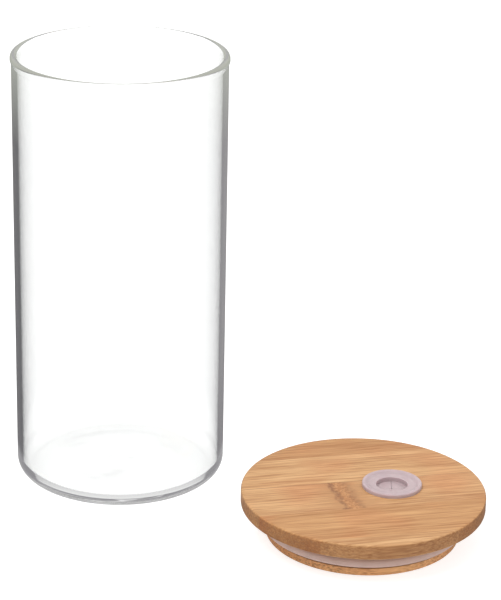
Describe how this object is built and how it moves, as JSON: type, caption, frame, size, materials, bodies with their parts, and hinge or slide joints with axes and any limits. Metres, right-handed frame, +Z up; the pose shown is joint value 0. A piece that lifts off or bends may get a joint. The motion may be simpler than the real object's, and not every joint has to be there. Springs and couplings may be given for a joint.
{
  "type": "lidded glass canister",
  "caption": "Tall clear glass storage canister with a turned bamboo plug lid that has a silicone seal ring and a slit silicone straw grommet; the lid lies beside the open glass.",
  "frame": {"origin": "centre of the glass's underside, on the surface it stands on", "axes": "+Z up along the glass's axis; +X along the grain of the lid's bamboo strips; the lid lies towards +X and -Y"},
  "size_m": [0.1542, 0.1473, 0.156],
  "materials": {
    "glass": "clear, polished",
    "bamboo": "satin, oiled, fine straight grain",
    "seal_silicone": "milky translucent, satin",
    "grommet_silicone": "milky translucent, satin"
  },
  "bodies": {
    "canister": {"glass_body": "glass"},
    "lid": {"lid_disc_strip_1": "bamboo", "lid_disc_strip_2": "bamboo", "lid_disc_strip_3": "bamboo", "lid_disc_strip_4": "bamboo", "lid_disc_strip_5": "bamboo", "lid_core_strip_1": "bamboo", "lid_core_strip_2": "bamboo", "lid_core_strip_3": "bamboo", "lid_core_strip_4": "bamboo", "lid_plug_strip_1": "bamboo", "lid_plug_strip_2": "bamboo", "lid_plug_strip_3": "bamboo", "lid_plug_strip_4": "bamboo", "lid_seal": "seal_silicone"},
    "grommet": {"straw_grommet": "grommet_silicone"},
    "flap_1": {"grommet_flap_1": "grommet_silicone"},
    "flap_2": {"grommet_flap_2": "grommet_silicone"},
    "flap_3": {"grommet_flap_3": "grommet_silicone"},
    "flap_4": {"grommet_flap_4": "grommet_silicone"}
  },
  "joints": [
    {"name": "lid_lift", "type": "slide", "parent": "canister", "child": "lid", "axis": [0, 0, 1], "range_m": [0, 0.18]},
    {"name": "grommet_pull", "type": "slide", "parent": "lid", "child": "grommet", "axis": [0, 0, 1], "range_m": [0, 0.02]},
    {"name": "flap_1_bend", "type": "hinge", "parent": "grommet", "child": "flap_1", "pos_m": [0.08243, -0.06284, 0.01445], "axis": [0.8443, 0.5358, 0], "range_deg": [0, 80], "stiffness_Nm_per_rad": 0.0008},
    {"name": "flap_2_bend", "type": "hinge", "parent": "grommet", "child": "flap_2", "pos_m": [0.08133, -0.06779, 0.01445], "axis": [-0.5358, 0.8443, 0], "range_deg": [0, 80], "stiffness_Nm_per_rad": 0.0008},
    {"name": "flap_3_bend", "type": "hinge", "parent": "grommet", "child": "flap_3", "pos_m": [0.08628, -0.0689, 0.01445], "axis": [-0.8443, -0.5358, 0], "range_deg": [0, 80], "stiffness_Nm_per_rad": 0.0008},
    {"name": "flap_4_bend", "type": "hinge", "parent": "grommet", "child": "flap_4", "pos_m": [0.08739, -0.06395, 0.01445], "axis": [0.5358, -0.8443, 0], "range_deg": [0, 80], "stiffness_Nm_per_rad": 0.0008}
  ],
  "couplings": [
    {"joint": "flap_2_bend", "follows": "flap_1_bend", "ratio": 1},
    {"joint": "flap_3_bend", "follows": "flap_1_bend", "ratio": 1},
    {"joint": "flap_4_bend", "follows": "flap_1_bend", "ratio": 1}
  ]
}
